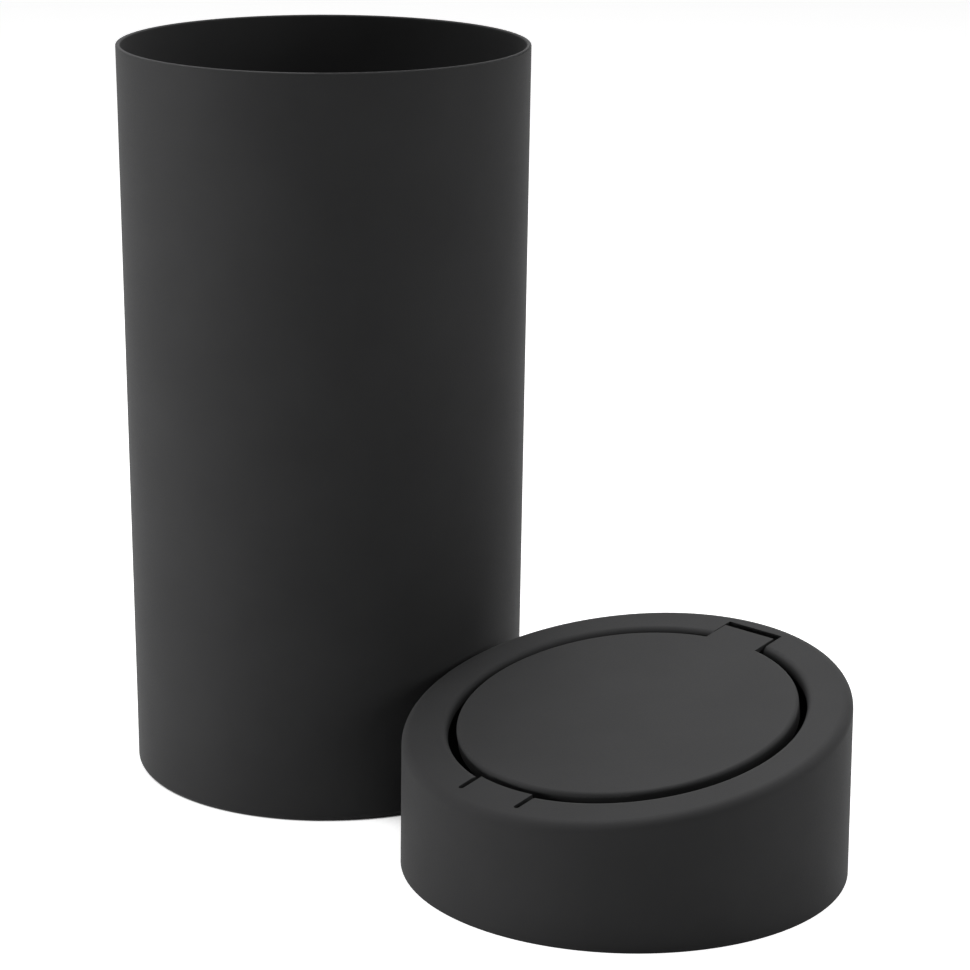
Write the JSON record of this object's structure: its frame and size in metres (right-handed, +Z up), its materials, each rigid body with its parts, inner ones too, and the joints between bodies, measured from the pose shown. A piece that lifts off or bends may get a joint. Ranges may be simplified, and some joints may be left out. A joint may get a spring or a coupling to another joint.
{
  "type": "trash can",
  "caption": "Round, slightly tapered trash can with its slanted collar lid standing beside it. A round flap, hinged at the back and latched by a press tongue at the front, opens the lid.",
  "frame": {"origin": "centre of the bucket's foot ring, on the floor", "axes": "+Z up along the bucket's axis, +X and -Y towards the side where the lid stands on the floor"},
  "size_m": [0.3508, 0.3453, 0.364],
  "materials": {
    "bucket_plastic": "matte, moulded",
    "lid_plastic": "matte, fine moulded grain",
    "hinge_steel": "drawn"
  },
  "bodies": {
    "bin": {"bin_bucket": "bucket_plastic"},
    "lid": {"lid_collar": "lid_plastic", "hinge_pin": "hinge_steel", "flap_spring": "hinge_steel"},
    "flap": {"lid_flap": "lid_plastic"},
    "tongue": {"latch_tongue": "lid_plastic"}
  },
  "joints": [
    {"name": "lid_lift", "type": "slide", "parent": "bin", "child": "lid", "axis": [0.0075, -0.0073, 0.9999], "range_m": [0, 0.37]},
    {"name": "flap_hinge", "type": "hinge", "parent": "lid", "child": "flap", "pos_m": [0.20443, -0.07775, 0.08402], "axis": [-0.7296, 0.6839, 0], "range_deg": [0, 90], "deforming": ["flap_spring"]},
    {"name": "tongue_press", "type": "hinge", "parent": "lid", "child": "tongue", "pos_m": [0.08217, -0.20818, 0.05728], "axis": [-0.7296, 0.6839, 0], "range_deg": [0, 6], "stiffness_Nm_per_rad": 1.1}
  ]
}
